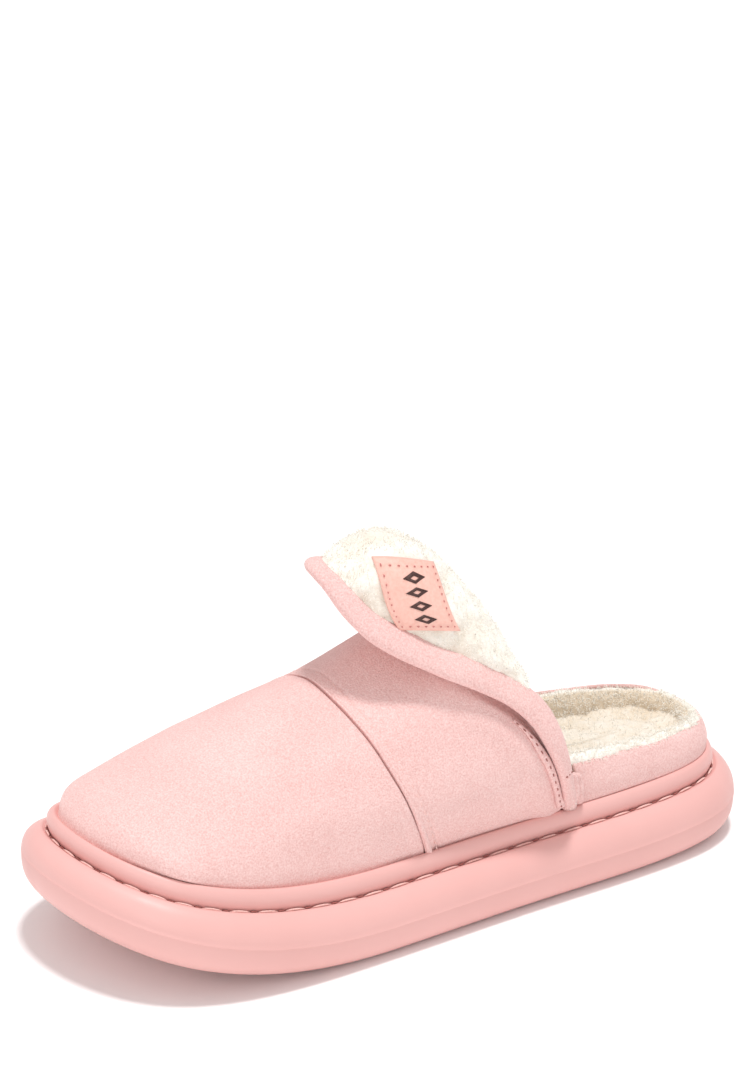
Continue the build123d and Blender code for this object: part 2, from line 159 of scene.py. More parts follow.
def make_contour(count=1440, fine=6001):
    """Evenly spaced points and outward normals of the sole's contour."""
    loop = np.array(SOLE_OUTLINE + SOLE_OUTLINE[:1], float)
    dense = spline(arc_knots(loop, 0.5), loop, np.linspace(0, 1, fine), periodic=True)
    points = sampled(np.arange(count) / count, arc_knots(dense), dense)
    tangent = unit(np.roll(points, -1, 0) - np.roll(points, 1, 0))
    return points, np.stack([tangent[:, 1], -tangent[:, 0]], 1)


CONTOUR, OUTWARD = make_contour()


def contour_at(u, inset):
    """Points of the contour moved inward, at shares u of the way round from the toe tip."""
    marks = np.arange(len(CONTOUR) + 1) / len(CONTOUR)
    moved = CONTOUR - OUTWARD * inset
    return sampled(np.asarray(u) % 1, marks, np.vstack([moved, moved[:1]]))


def sprung(xy, height):
    """Lift plan points to a height above the sprung floor."""
    height = np.broadcast_to(height, xy.shape[:-1])
    return np.concatenate([xy, (height + spring(xy[..., 1]))[..., None]], -1)


def side_x(y, inset, side, tip=20):
    """x of the inset contour at y, on the lateral (+1) or medial (-1) side."""
    moved = CONTOUR - OUTWARD * inset
    half = len(moved) // 2
    part = moved[tip:half - tip] if side > 0 else moved[half + tip:-tip]
    part = part[np.argsort(part[:, 1])]
    return np.interp(y, part[:, 1], part[:, 0])


# ---- surfaces ----
def normals_of(grid, row=0, column=0, axis=None):
    """Unit normals of a grid, turned to point up the axis at one of its points."""
    n = unit(np.cross(np.gradient(grid, axis=0), np.gradient(grid, axis=1)))
    return n if axis is None else n * np.sign(n[row, column, axis])


def pushed(points, n, distance):
    """Points moved along their normals."""
    return points + n * np.asarray(distance)[..., None]


def turn(count):
    """Angles of a full turn in equal steps."""
    return 2 * pi * np.arange(count) / count


def arch_half(width, arched):
    """(x, share of height) points of half a section, between a rounded and an arched shape."""
    girth = width + (HALF_GIRTH - width) * arched
    half = []
    for k, (share, height) in enumerate(ARCH):
        angle = pi / 2 * k / len(ARCH)
        round_x = width * cos(angle) ** (2 / ROUNDNESS)
        round_height = sin(angle) ** (2 / ROUNDNESS)
        arch_x = width + (girth - width) * share if k < 2 else girth * share
        half.append((round_x + (arch_x - round_x) * arched,
                     round_height + (height - round_height) * arched))
    return half


def front_section(station):
    """The lowest section lies nearly flat and follows the contour round the toe."""
    foot_y, top_y, top_z, _ = station
    foot_z = UPPER_FOOT + spring(foot_y)
    xy = contour_at(np.linspace(-0.25, 0.25, 801), UPPER_INSET)
    xy = xy[xy[:, 1] < foot_y][::-1]
    xy = sampled(ACROSS, arc_knots(xy), xy)
    z = foot_z + (top_z - foot_z) / (top_y - foot_y) * (xy[:, 1] - foot_y)
    return np.column_stack([xy, z])


def section(station):
    """One leaning arch of the upper, lateral foot to medial foot."""
    foot_y, top_y, top_z, arched = station
    right, left = (side_x(foot_y, UPPER_INSET, side) for side in (1, -1))
    width, middle = (right - left) / 2, (right + left) / 2
    foot = np.array([middle, foot_y, UPPER_FOOT + spring(foot_y)])
    rise = np.array([middle, top_y, top_z]) - foot
    half = arch_half(width, arched)
    run = half + [(0.0, 1.0)] + [(-x, share) for x, share in reversed(half)]
    run = [foot + (x, 0, 0) + rise * share for x, share in run]
    return through(run, ACROSS)


ACROSS = np.linspace(0, 1, 161)
SECTIONS = np.array([front_section(STATIONS[0])] + [section(row) for row in STATIONS[1:]])
STATION_MARKS = arc_knots(SECTIONS.mean(1))


def upper(first, last, count, depth=0.0):
    """Grid of the upper's surface between two stations, and its outward normals."""
    at = np.linspace(first, last, count)
    marks = np.interp(at, np.arange(len(STATIONS)), STATION_MARKS)
    grid = spline(STATION_MARKS, SECTIONS, marks)
    n = normals_of(grid)
    return pushed(grid, n, -depth), n


# ---- noise ----
def hashed(cell, seed):
    """Repeatable random numbers from 0 to 1 for whole-number cells."""
    x, y, z = (cell[..., k].astype(np.int64) for k in range(3))
    h = (x * 374761393 + y * 668265263 + z * 2147483647 + seed * 974711) & 0x7FFFFFFF
    h = ((h ^ (h >> 13)) * 1274126177) & 0x7FFFFFFF
    h = ((h ^ (h >> 15)) * 2246822519) & 0x7FFFFFFF
    return ((h ^ (h >> 16)) & 0xFFFF) / 65535.0


def noise(points, size, seed=0):
    """Smooth noise from -1 to 1 with bumps about size across."""
    p = points / size
    base = np.floor(p)
    f = p - base
    f = f * f * (3 - 2 * f)
    total = 0
    for corner in itertools.product((0, 1), repeat=3):
        weight = np.where(corner, f, 1 - f).prod(-1)
        total = total + weight * hashed(base + np.array(corner), seed)
    return total * 2 - 1


def tufts(points, size, seed=0):
    """Rounded tufts from 0 to 1, about size across, as matted curly pile has."""
    p = points / size
    nearest = np.full(p.shape[:-1], 9.0)
    for step in itertools.product((-1, 0, 1), repeat=3):
        cell = np.floor(p) + np.array(step)
        spot = np.stack([hashed(cell, seed + k) for k in range(3)], -1)
        nearest = np.minimum(nearest, norms(cell + spot - p))
    return np.clip(1 - nearest**2, 0, 1)


def pile_height(points, seed=0):
    """How far sherpa pile stands out at each point, in mm, about 0 on average."""
    p = points + np.stack([noise(points, 3.0, seed + k) for k in (11, 12, 13)], -1) * 1.1
    return (1.1 * (tufts(p, 4.6, seed) - 0.6) + 0.7 * noise(points, 9.0, seed + 5)
            + 0.2 * noise(p, 1.9, seed + 6) + 0.06 * noise(points, 1.0, seed + 7))


# ---- meshes ----
def in_scene(name, data):
    obj = bpy.data.objects.new(name, data)
    bpy.context.scene.collection.objects.link(obj)
    return obj


def mesh_object(name, vertices, faces, material, closed=True):
    """Smooth object in millimetres; a closed one has every face looking outward."""
    mesh = bpy.data.meshes.new(name)
    mesh.from_pydata((np.reshape(vertices, (-1, 3)).astype(float) * MM).tolist(), [], faces)
    mesh.materials.append(material)
    mesh.polygons.foreach_set("use_smooth", np.ones(len(mesh.polygons), bool))
    mesh.update()
    if closed:
        bm = bmesh.new()
        bm.from_mesh(mesh)
        bmesh.ops.recalc_face_normals(bm, faces=bm.faces)
        bm.to_mesh(mesh)
        bm.free()
    return in_scene(name, mesh)


def grid_faces(rows, columns, closed_rows=False, closed_columns=False, start=0):
    faces = []
    for i in range(rows if closed_rows else rows - 1):
        for j in range(columns if closed_columns else columns - 1):
            a, b = start + i * columns, start + (i + 1) % rows * columns
            c, d = j, (j + 1) % columns
            faces.append((a + c, a + d, b + d, b + c))
    return faces


def two_layers(outer, inner, closed_rows=False):
    """Vertices of two grids of the same shape, and the faces of both."""
    rows, columns = outer.shape[:2]
    faces = grid_faces(rows, columns, closed_rows)
    faces += [f[::-1] for f in grid_faces(rows, columns, closed_rows, start=rows * columns)]
    return np.array([outer, inner]), faces


def rim_faces(rim, size):
    """Wall between two layers of so many points, along a closed rim."""
    return [(b, a, a + size, b + size) for a, b in zip(rim, rim[1:] + rim[:1])]


def shell(name, outer, inner, material):
    """Closed sheet between two grids of the same shape."""
    vertices, faces = two_layers(outer, inner)
    index = np.arange(outer[..., 0].size).reshape(outer.shape[:2])
    rim = [*index[0], *index[1:, -1], *index[-1, -2::-1], *index[-2:0:-1, 0]]
    rim = np.array(rim).tolist()
    return mesh_object(name, vertices, faces + rim_faces(rim, index.size), material)


def loop_sweep(name, rings, material, closed=True):
    """Tube through rings of points; closed joins the last ring to the first, else capped."""
    rows, columns = rings.shape[:2]
    faces = grid_faces(rows, columns, closed, True)
    if not closed:
        faces += [tuple(range(columns)), tuple(range((rows - 1) * columns, rows * columns))]
    return mesh_object(name, rings, faces, material)


def capsules(name, starts, ends, ups, half_width, half_height, material, sides=8, rounds=5,
             bow=0.8):
    """Many small rounded stitches in one mesh, each from a start to an end."""
    starts = np.array(starts)
    run = np.array(ends) - starts
    side = unit(np.cross(run, ups))
    up = np.cross(side, unit(run))
    t = np.linspace(0, 1, rounds + 1)[:, None]
    swell = np.sqrt(np.maximum(0.05, 1 - np.abs(2 * t - 1) ** 3))
    arch = half_height * bow * np.sin(pi * t)
    centre = starts[:, None] + run[:, None] * t + up[:, None] * arch
    rings = pushed(centre[:, :, None], side[:, None, None],
                   half_width * swell * np.cos(turn(sides)))
    rings = pushed(rings, up[:, None, None], half_height * swell * np.sin(turn(sides)))
    size = (rounds + 1) * sides
    stitch = grid_faces(rounds + 1, sides, False, True)
    stitch += [tuple(range(end, end + sides)) for end in (0, size - sides)]
    faces = [tuple(first + v for v in face) for first in range(0, size * len(starts), size)
             for face in stitch]
    return mesh_object(name, rings, faces, material)


def stitch_row(name, line, ups, pitch, reach, half_width, half_height, material, bow=0.8):
    """Stitches along a line, one every pitch, each reaching as far both ways."""
    marks, length = arc_knots(line), line_length(line)
    count = int(length / pitch)
    u = (np.arange(count) + 0.5) / count
    starts, ends = (sampled(u + way * reach / length, marks, line) for way in (-1, 1))
    return capsules(name, starts, ends, sampled(u, marks, ups), half_width, half_height,
                    material, bow=bow)


def oval_strip(name, centre, across, up, half_width, half_height, sides):
    """Suede tube of oval section along a line; half sizes are given for every point."""
    rings = pushed(centre[:, None], across[:, None], half_width[:, None] * np.cos(turn(sides)))
    rings = pushed(rings, up[:, None], half_height[:, None] * np.sin(turn(sides)))
    return loop_sweep(name, rings, SUEDE_PINK, closed=False)


# ---- materials ----
class Look:
    """A principled material, wired up step by step."""

    def __init__(self, name, inputs):
        self.material = bpy.data.materials.new(name)
        self.material.use_nodes = True
        self.tree = self.material.node_tree
        self.shader = self.tree.nodes["Principled BSDF"]
        self.feed(self.shader, inputs)
        self.coords = self.node("ShaderNodeTexCoord", {}).outputs["Object"]

    def feed(self, node, inputs):
        """Set a node's inputs to values, or link them to other nodes' outputs."""
        for key, value in inputs.items():
            if isinstance(value, bpy.types.NodeSocket):
                self.tree.links.new(value, node.inputs[key])
            else:
                node.inputs[key].default_value = value

    def node(self, kind, inputs, **settings):
        node = self.tree.nodes.new(kind)
        for key, value in settings.items():
            setattr(node, key, value)
        self.feed(node, inputs)
        return node

    def mottled(self, scale, detail, low=0, high=1):
        """Noise remapped between two values."""
        texture = self.node("ShaderNodeTexNoise",
                            {"Vector": self.coords, "Scale": scale, "Detail": detail})
        return self.node("ShaderNodeMapRange", {
            "Value": texture.outputs["Fac"], "From Min": 0.3, "From Max": 0.7,
            "To Min": low, "To Max": high}).outputs["Result"]

    def summed(self, a, b, weight):
        return self.node("ShaderNodeMath", {0: b, 1: weight, 2: a},
                         operation="MULTIPLY_ADD").outputs[0]

    def paint(self, factor, dark, light):
        mix = self.node("ShaderNodeMix", {0: factor, 6: (*dark, 1), 7: (*light, 1)},
                        data_type="RGBA")
        self.feed(self.shader, {"Base Color": mix.outputs[2]})

    def bump(self, heights, strength, distance):
        """Raise the surface by up to a distance in metres."""
        bump = self.node("ShaderNodeBump", {"Height": heights, "Strength": strength,
                                            "Distance": distance})
        self.feed(self.shader, {"Normal": bump.outputs["Normal"]})


def suede_material(name, dark, light):
    """Brushed nap: fine speckle over soft cloudy patches, with a pale sheen."""
    look = Look(name, {"Roughness": 0.92, "Specular IOR Level": 0.15, "Sheen Weight": 0.35,
                       "Sheen Roughness": 0.45, "Sheen Tint": (1.0, 0.86, 0.84, 1)})
    speckle, cloud = look.mottled(1700, 2, -0.5, 0.5), look.mottled(45, 3, 0.42, 0.62)
    look.paint(look.summed(cloud, speckle, 0.9), dark, light)
    look.bump(look.summed(look.mottled(1900, 3), look.mottled(350, 2), 0.8), 0.5, 0.00035)
    return look.material


def pile_material(name, dark, light):
    """Curly pile: colour mixed by the painted shade held in its pile_height attribute, darker in
    the hollows between tufts, with fine fibre grain.
    """
    look = Look(name, {"Roughness": 0.95, "Specular IOR Level": 0.1, "Sheen Weight": 0.5,
                       "Sheen Roughness": 0.6})
    # The pile_height attribute carries painted shade, not a height.
    height = look.node("ShaderNodeAttribute", {}, attribute_name="pile_height").outputs["Fac"]
    look.paint(look.summed(height, look.mottled(1300, 3, -0.14, 0.14), 1.0), dark, light)
    look.bump(look.summed(look.mottled(700, 4), look.mottled(2200, 2), 0.4), 0.35, 0.0004)
    return look.material


def fibre_material(name, colour, glow):
    """Fine pale fibres; a little painted glow stands in for the light that passes through them."""
    look = Look(name, {"Roughness": 0.9, "Specular IOR Level": 0.05,
                       "Emission Color": (*colour, 1), "Emission Strength": glow})
    look.paint(look.mottled(120, 2), [c * 0.94 for c in colour], colour)
    return look.material


def foam_material(name, dark, light, roughness):
    """Moulded foam rubber: satin skin with a faint orange-peel grain."""
    look = Look(name, {"Specular IOR Level": 0.35})
    look.paint(look.mottled(25, 3), dark, light)
    rough = look.mottled(160, 2, roughness - 0.04, roughness + 0.05)
    look.feed(look.shader, {"Roughness": rough})
    look.bump(look.mottled(2600, 2), 0.12, 0.00015)
    return look.material


def grained_material(name, dark, light, roughness, scale, depth):
    """Small parts: threads, the painted shade of stitch holes, board, leather, print."""
    look = Look(name, {"Roughness": roughness})
    look.paint(look.mottled(scale, 3), dark, light)
    look.bump(look.mottled(scale * 1.7, 2), 0.4, depth)
    return look.material


SUEDE_PINK = suede_material("suede_pink", (0.78, 0.45, 0.42), (0.93, 0.66, 0.63))
# Its darker colour is painted shade, mixed in for the hollows between tufts and inside the slipper.
SHERPA = pile_material("sherpa_cream", (0.72, 0.60, 0.46), (0.96, 0.93, 0.87))
FIBRE = fibre_material("sherpa_fibre", (0.95, 0.91, 0.84), 0.12)
SOLE_FOAM = foam_material("sole_foam_pink", (0.77, 0.42, 0.39), (0.80, 0.45, 0.42), 0.42)
# The needle-hole colour below, a dark red-brown, is painted shade for the insides of stitch holes
# and for stitches in shadow.
THREAD, STITCH_SHADE, LABEL_THREAD, LABEL, PRINT, CORE, BOARD = (
    grained_material(*row) for row in (
        ("thread_pale", (0.80, 0.47, 0.43), (0.90, 0.60, 0.55), 0.6, 1800, 0.0002),
        ("stitch_shade", (0.32, 0.10, 0.09), (0.42, 0.16, 0.14), 0.9, 900, 0.0002),
        ("label_thread", (0.52, 0.16, 0.15), (0.62, 0.24, 0.22), 0.7, 1500, 0.0001),
        ("label_leather", (0.84, 0.46, 0.38), (0.90, 0.54, 0.46), 0.55, 900, 0.0001),
        ("dark_print", (0.05, 0.02, 0.015), (0.08, 0.03, 0.025), 0.6, 900, 0.0001),
        ("foam_core", (0.80, 0.74, 0.66), (0.88, 0.83, 0.76), 0.95, 500, 0.0004),
        ("fibre_board", (0.62, 0.55, 0.46), (0.72, 0.65, 0.56), 0.9, 700, 0.0003)))


# ---- bottom unit ----
CAP_SPINE = (-92, 100)  # y range of the line the sole's caps shrink towards
FIBRE_RADII = (0.11, 0.09, 0.04)  # at the root, the bend and the tip
BARE_MARGIN = 2.4  # fibres keep this far from bare points
# Levels of the pile's painted shade: the pile face's level, the footbed's darker level as it lies
# inside the slipper, and how much lighter tuft tops are than the hollows between them.
PILE_TONE, FOOTBED_SHADE, TUFT_SHADE = 0.66, 0.25, 0.34


def ring_points(profile, count=720):
    """Grid of (inset, height) profile points swept round the contour."""
    u = np.arange(count) / count
    return np.stack([sprung(contour_at(u, inset), height) for inset, height in profile], 1)


def cap_faces(rows, width, column, start=0):
    """Faces that close a swept ring's end column, each from one side across to the other."""
    faces = []
    for i in range(rows // 2):
        corners = dict.fromkeys([i, (i + 1) % rows, (rows - 1 - i) % rows, (rows - i) % rows])
        if len(corners) >= 3:
            faces.append(tuple(start + r * width + column for r in corners))
    return faces


def capped(name, grid, low_centre, high_centre, material, rings=14):
    """Close a swept ring with sprung caps that shrink towards the spine."""
    caps = []
    for ring, height in ((grid[:, 0], low_centre), (grid[:, -1], high_centre)):
        spine = np.column_stack([np.zeros(len(ring)), np.clip(ring[:, 1], *CAP_SPINE)])
        steps = [ring[:, :2] + (spine - ring[:, :2]) * (k / rings) for k in range(1, rings)]
        caps.append(np.stack([sprung(step, height) for step in steps], 1))
    whole = np.concatenate([caps[0][:, ::-1], grid, caps[1]], 1)
    rows, width = whole.shape[:2]
    faces = grid_faces(rows, width, True)
    faces += cap_faces(rows, width, 0) + cap_faces(rows, width, width - 1)
    return mesh_object(name, whole, faces, material)


def make_tread_cutter():
    """One bar across the underside for every groove of the tread."""
    quads = [(0, 3, 2, 1), (4, 5, 6, 7)] + grid_faces(2, 4, False, True)
    vertices, faces = [], []
    for y0 in TREAD_GROOVES:
        x0, x1 = (side_x(y0, GROOVE_INSET, side) for side in (-1, 1))
        y1, floor = y0 + GROOVE_WIDTH, float(spring(y0))
        faces += [tuple(len(vertices) + v for v in quad) for quad in quads]
        for z in (floor - 4.0, floor + GROOVE_DEPTH):
            vertices += [(x0, y0, z), (x1, y0, z), (x1, y1, z), (x0, y1, z)]
    return mesh_object("tread_cutter", vertices, faces, SOLE_FOAM, False)


def make_outsole():
    """Moulded sole: rounded underside, fine parting line, rolled shoulder and open groove."""
    edge, middle, shoulder = 11.2, 11.3, 9.6
    profile = []
    for k in range(15):
        angle = pi / 2 * k / 14
        profile.append((edge * (1 - sin(angle) ** (2 / 3)),
                        middle * (1 - cos(angle) ** (2 / 3))))
    profile += [(0.02, middle + 0.1), (-0.1, middle + 0.2), (-0.1, middle + 0.34),
                (0.03, middle + 0.45)]
    rise = SOLE_HEIGHT - middle - 0.6
    for k in range(1, 12):
        angle = pi / 2 * k / 12
        profile.append((shoulder * (1 - cos(angle)), middle + 0.5 + rise * sin(angle)))
    profile = [p for p in profile if p[0] < 6.2 or p[1] < middle]
    profile += [(6.7, 22.0), (7.1, 21.7), (7.5, 21.4), (8.4, 21.25), (9.4, 21.3), (10.5, 21.3)]
    body = capped("outsole_body", ring_points(profile), 0.0, 21.0, SOLE_FOAM)
    tool = make_tread_cutter()
    cut = body.modifiers.new("tread", "BOOLEAN")
    cut.operation, cut.solver, cut.object = "DIFFERENCE", "EXACT", tool
    graph = bpy.context.evaluated_depsgraph_get()
    body.data = bpy.data.meshes.new_from_object(body.evaluated_get(graph))
    body.modifiers.clear()
    bpy.data.objects.remove(tool)
    tread_top, slanted = 0.007, 0.96
    for face in body.data.polygons:
        if face.center.z < tread_top + spring(face.center.y / MM) * MM:
            face.use_smooth = max(abs(v) for v in face.normal) < slanted
    return body


def make_welt():
    profile = [(9.6, 21.2), (9.0, 21.6), (8.85, 22.5), (8.5, 23.5), (8.3, 24.8), (8.5, 26.3),
               (9.0, 27.5), (9.7, 28.4), (10.4, 28.8), (11.1, 28.6), (11.7, 27.9), (12.8, 27.3),
               (14.6, 27.0), (14.8, 24.0), (14.0, 22.0), (11.0, 21.6)]
    return loop_sweep("welt_strip_foam", ring_points(profile), SOLE_FOAM)


def make_sole_stitching():
    """Long stitches in the sole's groove, and between them dark capsules painted as the shade
    inside the needle holes.
    """
    inset, height, pitch = 8.1, 21.6, 10.0
    length = line_length(contour_at(np.linspace(0, 1, 2001), inset))
    count = int(round(length / pitch))
    u = np.arange(count) / count

    def row(name, shift, reach, deeper, half_width, half_height, material, bow):
        starts, ends = (
            sprung(contour_at(u + shift / count + way * reach / length, inset + deeper), height)
            for way in (-1, 1))
        return capsules(name, starts, ends, [(0, 0, 1)] * count, half_width,
                        half_height, material, bow=bow)

    return (row("sole_stitch_threads", 0.0, 3.5, 0.0, 0.45, 0.36, THREAD, 0.5),
            row("sole_stitch_holes", 0.5, 1.3, 0.4, 0.42, 0.3, STITCH_SHADE, 0.1))


def add_pile_attribute(obj, height, tone):
    """Painted shade of every point: the tone, lighter on tuft tops and darker in the hollows
    between them, on the face; half on the flat back.
    """
    shade = np.clip(tone + height * TUFT_SHADE, 0, 1)
    attribute = obj.data.attributes.new("pile_height", "FLOAT", "POINT")
    values = np.array([shade, np.full_like(shade, 0.5)], np.float32)
    attribute.data.foreach_set("value", values.ravel())


def pile_shell(name, face, n, back, seed, calm=1.0, extra_shade=0.0):
    """Closed sheet whose outer face stands up in tufts; back is its flat side.

    calm flattens the tufts and extra_shade darkens them with painted shade, each a number or one
    for every column.
    """
    height = pile_height(face, seed) * calm
    outer = pushed(face, n, height)
    obj = shell(name, outer, back, SHERPA)
    add_pile_attribute(obj, height, PILE_TONE - extra_shade)
    return obj, outer


def fuzz(name, grid, n, count, seed, bare=None):
    """Short curled fibres scattered evenly over a pile face, except close to bare points."""
    dice = np.random.default_rng(seed)
    corner, below, beside = grid[:-1, :-1], grid[1:, :-1], grid[:-1, 1:]
    area = norms(np.cross(below - corner, beside - corner))
    cells = dice.choice(area.size, count, p=(area / area.sum()).ravel())
    i, j = np.unravel_index(cells, area.shape)
    a, b = dice.random((2, count, 1))
    root = grid[i, j] + (grid[i + 1, j] - grid[i, j]) * a + (grid[i, j + 1] - grid[i, j]) * b
    up = n[i, j]
    if bare is not None:
        kept = norms(root[:, None] - bare).min(1) > BARE_MARGIN
        root, up, count = root[kept], up[kept], int(kept.sum())
    lean = unit(up + dice.normal(0, 0.6, (count, 3)))
    curl = unit(lean + dice.normal(0, 0.8, (count, 3)))
    length = dice.uniform(0.4, 1.0, (count, 1))
    spine = [root - up * 0.3, root + lean * length, root + lean * length + curl * length * 0.8]
    side = unit(np.cross(lean, dice.normal(0, 1, (count, 3))))
    other = np.cross(lean, side)
    corners = [centre + (side * cos(angle) + other * sin(angle)) * radius
               for centre, radius in zip(spine, FIBRE_RADII) for angle in turn(3)]
    first = (np.arange(count) * len(corners))[:, None, None]
    faces = (first + np.array(grid_faces(3, 3, False, True))).reshape(-1, 4).tolist()
    faces += (first + np.array([[6, 7, 8], [2, 1, 0]])).reshape(-1, 3).tolist()
    return mesh_object(name, np.stack(corners, 1), faces, FIBRE, False)


def make_layer(name, inset, low, high, material):
    """Hidden layer of the bottom unit, a plain slab that follows the contour."""
    return capped(name, ring_points([(inset, low), (inset, high)], 240), low, high, material)


def make_footbed():
    """Dished pile sheet over the cushion, in rings that shrink towards the spine."""
    around, rings = 620, 70
    edge = contour_at(np.arange(around) / around, FOOTBED_INSET)
    spine = np.column_stack([np.zeros(around), np.clip(edge[:, 1], -88, 96)])
    share = np.linspace(0, 0.985, rings)[None, :, None]
    plan = edge[:, None] + (spine - edge)[:, None] * share
    dish = 1.28 * (1 - ease(share[..., 0] * 26, 0, 9))
    top = sprung(plan, FOOTBED_TOP - 0.6 + dish)
    up = np.broadcast_to([0.0, 0.0, 1.0], top.shape)
    height = pile_height(top, 3)
    outer = pushed(top, up, height)
    vertices, faces = two_layers(outer, sprung(plan, FOOTBED_TOP - 4.0), True)
    size = around * rings
    faces += rim_faces(list(range(0, size, rings)), size)
    faces += cap_faces(around, rings, rings - 1) + cap_faces(around, rings, rings - 1, size)
    obj = mesh_object("footbed_pile", vertices, faces, SHERPA)
    # The footbed's pile takes a darker painted shade, as it lies inside the slipper.
    add_pile_attribute(obj, height, FOOTBED_SHADE)
    return obj, fuzz("footbed_fuzz", outer, up, 4000, 63)


# ---- upper ----
SEAM_STITCHES = 4.6  # distance of the stitches from the arched seam
HEM_STITCH = (3.4, 1.15, 0.3, 0.28, THREAD)  # pitch, reach, half sizes and thread


def soft_dimples(points, n, amount=0.3):
    """Slight unevenness of padded suede."""
    return pushed(points, n, amount * (noise(points, 26.0, 40) + noise(points, 11.0, 41) * 0.35))


def rim_roll(grid, n, depth=0.8, reach=4.0):
    """Panels curl in towards the welt at both feet of every section."""
    feet = [norms(grid - foot) for foot in (grid[:, :1], grid[:, -1:])]
    return pushed(grid, n, -depth * bell(np.minimum(*feet), reach))


def distance_along(grid):
    """Distance from the first row, measured over the surface along each column."""
    steps = norms(np.diff(grid, axis=0))
    return np.concatenate([np.zeros((1, grid.shape[1])), np.cumsum(steps, axis=0)])


def suede_panel(name, face, n):
    return shell(name, face, face - n * SUEDE, SUEDE_PINK)


def grooved(face, n, away, depth=1.6, width=0.65):
    """Sink a panel's edge into the arched seam."""
    return pushed(face, n, -depth * bell(away, width))


def make_toe_panel():
    grid, n = upper(0, SEAM_STATION, 230)
    front = distance_along(grid)
    away = front[-1] - front
    face = rim_roll(soft_dimples(grid, n), n)
    rise = 0.2 * bell(away, 2.2, 3.2) - 0.8 * bell(front, 3.0)
    return suede_panel("toe_suede", grooved(pushed(face, n, rise), n, away), n)


def tucked(grid, n, flap):
    """Instep suede swells in front of the hem's sewn sides and dives in beneath them."""
    low = flap.climb < 0.8
    edge, inward, over = flap.edge[low], flap.inward[low], flap.over[low]
    points = grid.reshape(-1, 3)
    nearest = np.argmin(norms(points[:, None] - edge), axis=1)
    offset = points - edge[nearest]
    behind = (offset * inward[nearest]).sum(1).reshape(grid.shape[:2])
    lift = np.abs((offset * over[nearest]).sum(1)).reshape(grid.shape[:2])
    fade = 1 - ease(flap.climb[low][nearest], 0.36, 0.56).reshape(grid.shape[:2])
    fade = fade * (1 - ease(lift, 5, 9))
    sink = 3.2 * ease(behind, -1.2, 2.6) - 1.2 * bell(behind, 4.5, -6.5)
    return pushed(grid, n, -sink * fade)


def make_instep_panel(flap):
    grid, n = upper(SEAM_STATION, len(STATIONS) - 1, 170)
    away = distance_along(grid)
    face = tucked(rim_roll(soft_dimples(grid, n), n), n, flap)
    face = grooved(pushed(face, n, -0.3 * bell(away, 0.7, SEAM_STITCHES)), n, away)
    return suede_panel("instep_suede", face, n), face, n


def make_hem_facing(flap, face, n, side, name, window=7):
    """Narrow stitched strip on the instep, just in front of one sewn side of the hem."""
    keep = (flap.climb > 0.02) & (flap.climb < 0.36) & ((flap.s < 0.5) == (side > 0))
    target = flap.beside(-1.5, 0)[keep]
    nearest = np.argmin(norms(face.reshape(-1, 3)[:, None] - target), axis=0)
    at = np.linspace(0, 1, 70)
    marks = np.linspace(0, 1, len(target))

    def smoothed(values):
        padded = np.pad(values, ((window // 2, window // 2), (0, 0)), mode="edge")
        level = [np.convolve(column, np.ones(window) / window, "valid") for column in padded.T]
        return spline(marks, np.stack(level, 1), at)

    up = unit(smoothed(n.reshape(-1, 3)[nearest]))
    centre = smoothed(face.reshape(-1, 3)[nearest]) + up * 0.4
    across = smoothed(flap.inward[keep])
    taper = 1 - 0.7 * ease(np.interp(at, marks, flap.climb[keep]), 0.2, 0.36)
    strip = oval_strip("hem_facing_" + name, centre, across, up, 1.7 * taper, 1.2 * taper, 14)
    line = centre + up * 1.15 * taper[:, None] - across * 0.3
    # These stitches are dark marks in painted shade, as they sit in the crease in front of the hem.
    return strip, stitch_row("hem_facing_stitches_" + name, line, up, pitch=3.2, reach=0.75,
                             half_width=0.26, half_height=0.2, material=STITCH_SHADE, bow=0.4)


def make_seam_details():
    """Thin folded roll in the seam, and the row of stitches behind it."""
    grid, n = upper(SEAM_STATION - 0.04, SEAM_STATION + 0.8, 90)
    away = distance_along(grid)

    def at_distance(distance, lift):
        line = []
        for j in range(grid.shape[1]):
            low = np.searchsorted(away[:, j], distance, side="right") - 1
            line.append(sampled(distance, away[:, j], grid[:, j]) + n[low, j] * lift)
        return np.array(line)

    centre, ahead = at_distance(1.3, -0.4), at_distance(2.3, -0.4)
    up = n[2]
    climb = 1 - np.abs(2 * arc_knots(centre) - 1)
    plump = 0.55 + 0.8 * (1 - ease(climb, 0.0, 0.5))
    roll = oval_strip("seam_roll", centre, unit(ahead - centre), up, plump, plump, 12)
    return roll, stitch_row("seam_stitches", at_distance(SEAM_STITCHES, -0.3), up, *HEM_STITCH)


def held_inside(grid, depth):
    """Keep a lining at least its depth inside the upper's foot all round."""
    held = grid.copy()
    inset = UPPER_INSET + depth
    held[..., 1] = np.maximum(held[..., 1], (CONTOUR - OUTWARD * inset)[:, 1].min() + 0.5)
    walls = (side_x(held[..., 1], inset, side) for side in (-1, 1))
    held[..., 0] = np.clip(held[..., 0], *walls)
    return held


def make_lining(name, first, last, rows, seed):
    face, n = upper(first, last, rows, LINING_IN)
    back = held_inside(upper(first, last, rows, LINING_OUT)[0], LINING_OUT)
    return pile_shell(name, held_inside(face, LINING_IN - 1.5), -n, back, seed)[0]


